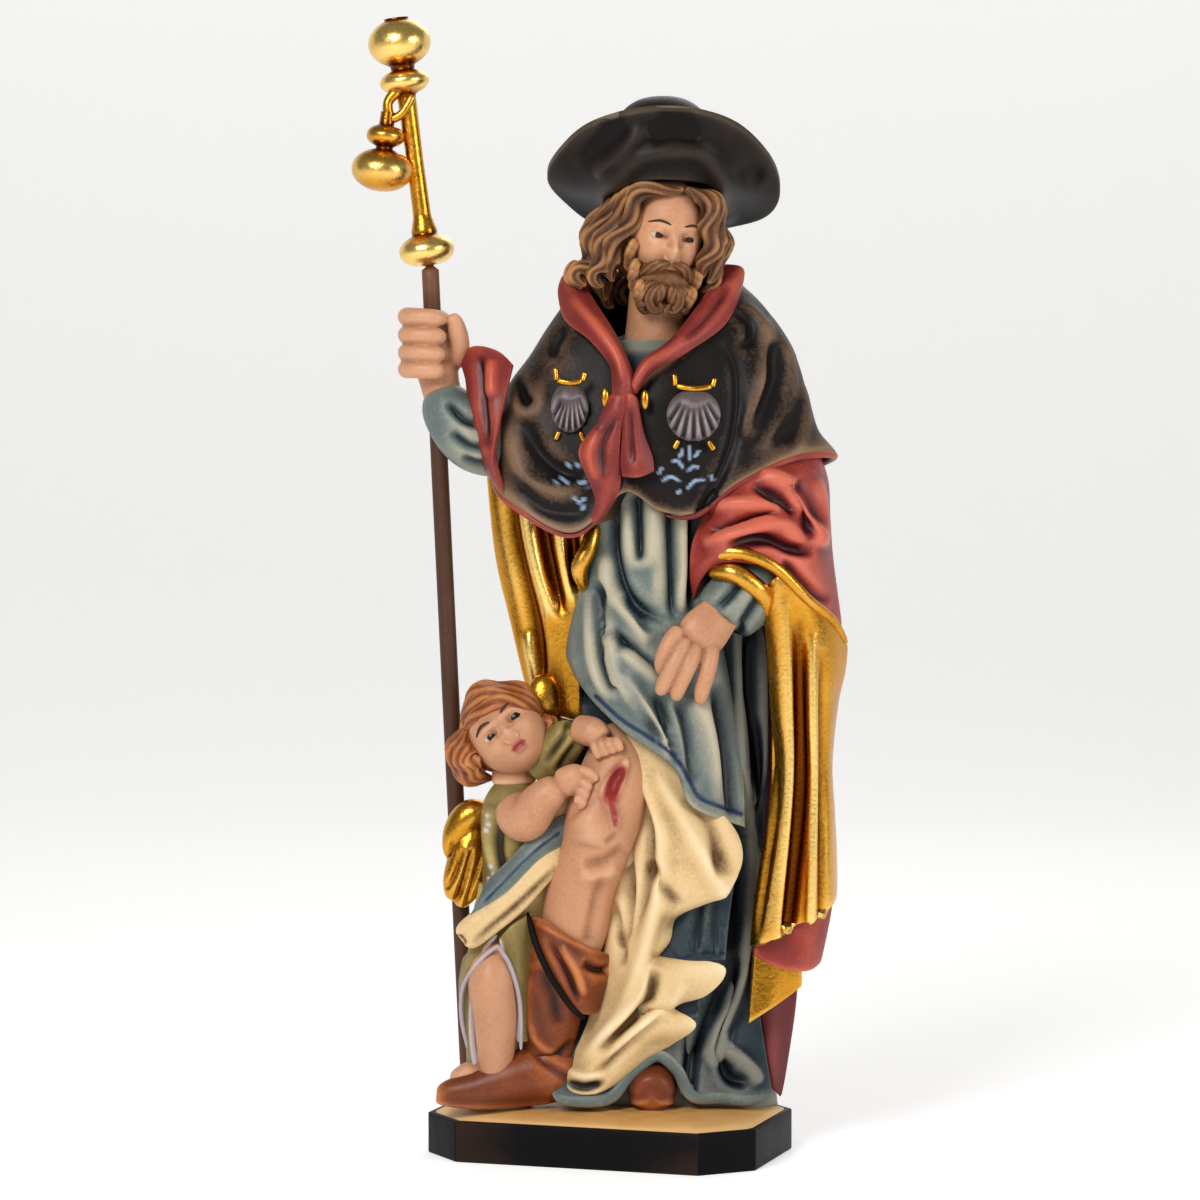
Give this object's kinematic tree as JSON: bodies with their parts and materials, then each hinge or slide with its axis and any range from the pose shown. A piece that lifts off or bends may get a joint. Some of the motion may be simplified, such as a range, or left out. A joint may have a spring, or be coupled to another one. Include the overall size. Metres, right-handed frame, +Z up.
{
  "type": "wooden saint statue",
  "caption": "Painted and gilded wooden statue of a bearded pilgrim with hat, cape and staff, with a kneeling winged child at the bared knee, on a low chamfered base.",
  "frame": {"origin": "middle of the base's underside", "axes": "+Z up, -Y out of the base's long front edge, +X to the right as seen from the front"},
  "size_m": [0.1327, 0.0754, 0.3148],
  "materials": {
    "painted_wood": "satin",
    "stained_wood": "satin",
    "gilded_wood": "polished"
  },
  "bodies": {
    "root": {"carved_group": "painted_wood", "staff_shaft": "stained_wood", "staff_head": "gilded_wood"}
  },
  "joints": []
}
